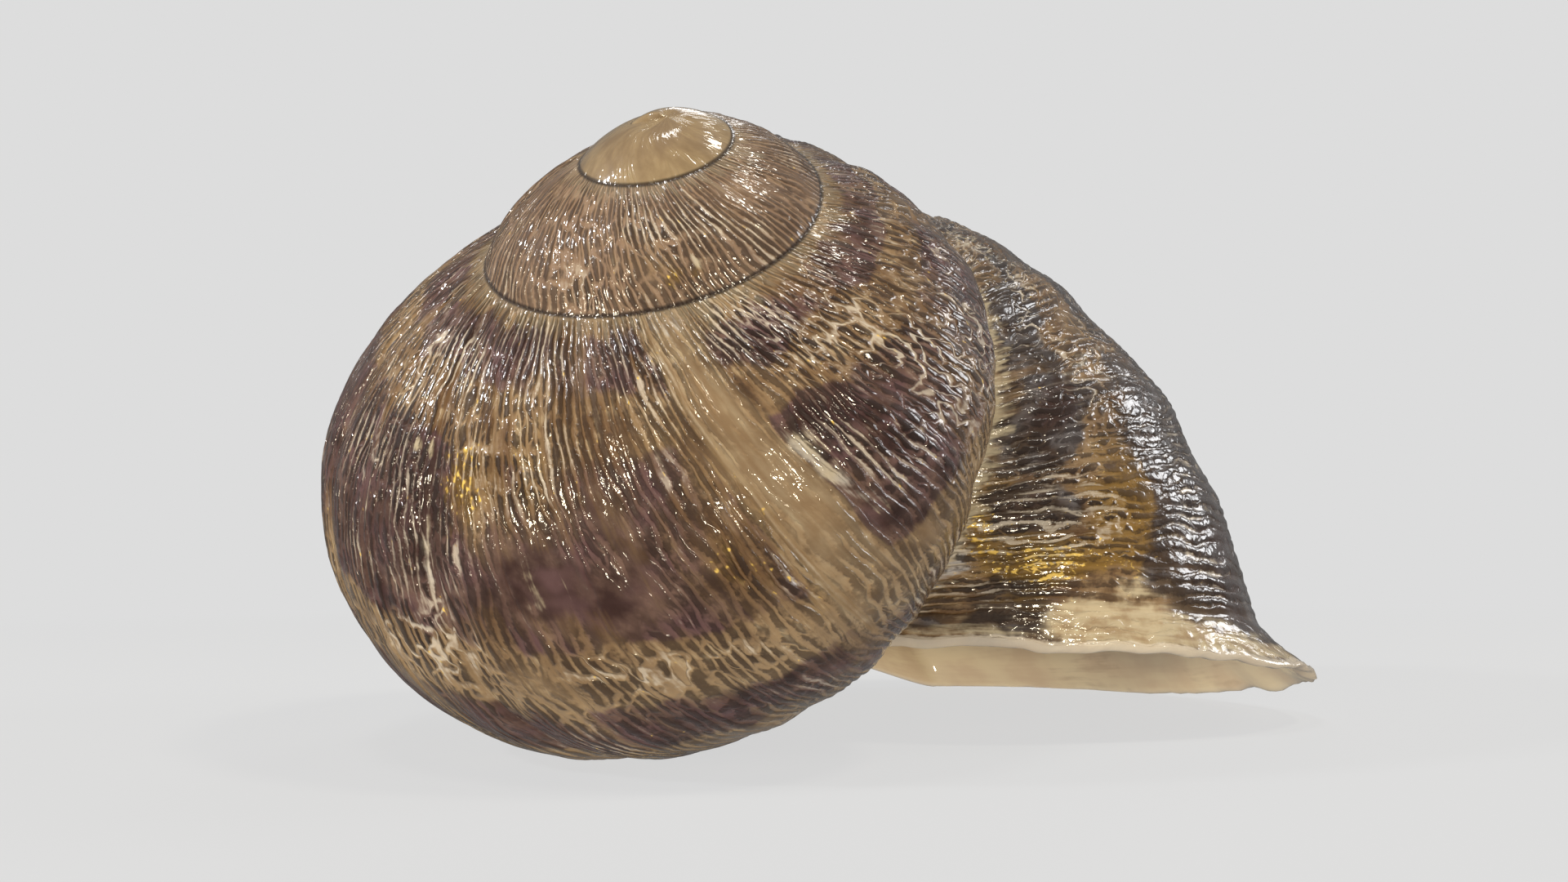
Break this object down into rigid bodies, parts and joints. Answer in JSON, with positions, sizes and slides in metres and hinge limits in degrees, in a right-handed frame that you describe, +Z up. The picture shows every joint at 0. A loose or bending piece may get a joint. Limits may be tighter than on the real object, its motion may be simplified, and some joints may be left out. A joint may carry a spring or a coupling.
{
  "type": "snail shell",
  "caption": "Empty garden snail shell: a low right-handed spire, one large rounded last whorl and a wide open mouth with a thin flared lip, resting mouth down.",
  "frame": {"origin": "centre of the bounding box's bottom, on the plane the shell rests on", "axes": "+Z up with the shell resting mouth down; the picture looks along +Y, with +X to its right"},
  "size_m": [0.0344, 0.0282, 0.0209],
  "materials": {
    "shell": "glossy brown and cream shell, finely ridged"
  },
  "bodies": {
    "root": {"shell": "shell"}
  },
  "joints": []
}
